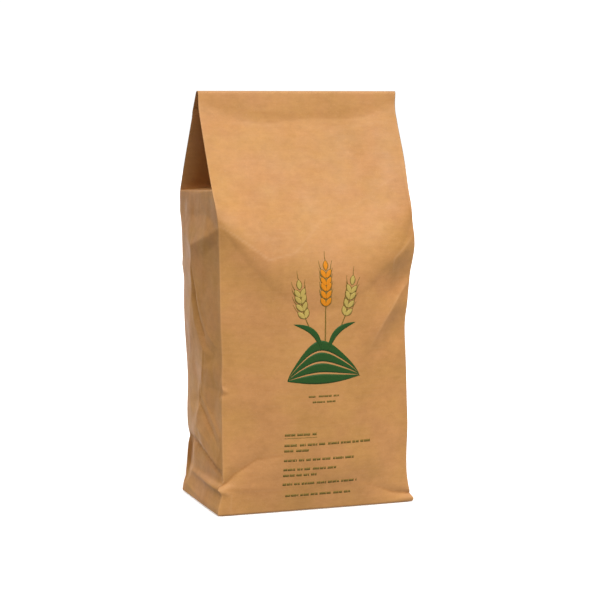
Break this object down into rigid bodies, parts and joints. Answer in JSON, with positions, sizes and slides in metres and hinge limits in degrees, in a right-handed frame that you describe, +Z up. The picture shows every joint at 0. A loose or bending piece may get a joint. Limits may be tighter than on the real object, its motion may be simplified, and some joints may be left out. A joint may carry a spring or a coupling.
{
  "type": "paper bag of flour",
  "caption": "Upright block-bottomed paper bag full of flour, with folded-in side gussets and its top folded over to the back.",
  "frame": {"origin": "middle of the flat base, on the surface that the bag stands on", "axes": "+Z up to the fold along the top, +X to the right of the printed front panel, -Y out of the front panel"},
  "size_m": [0.1566, 0.1242, 0.296],
  "materials": {
    "kraft_paper": "matte"
  },
  "bodies": {
    "root": {"bag": "kraft_paper"}
  },
  "joints": []
}
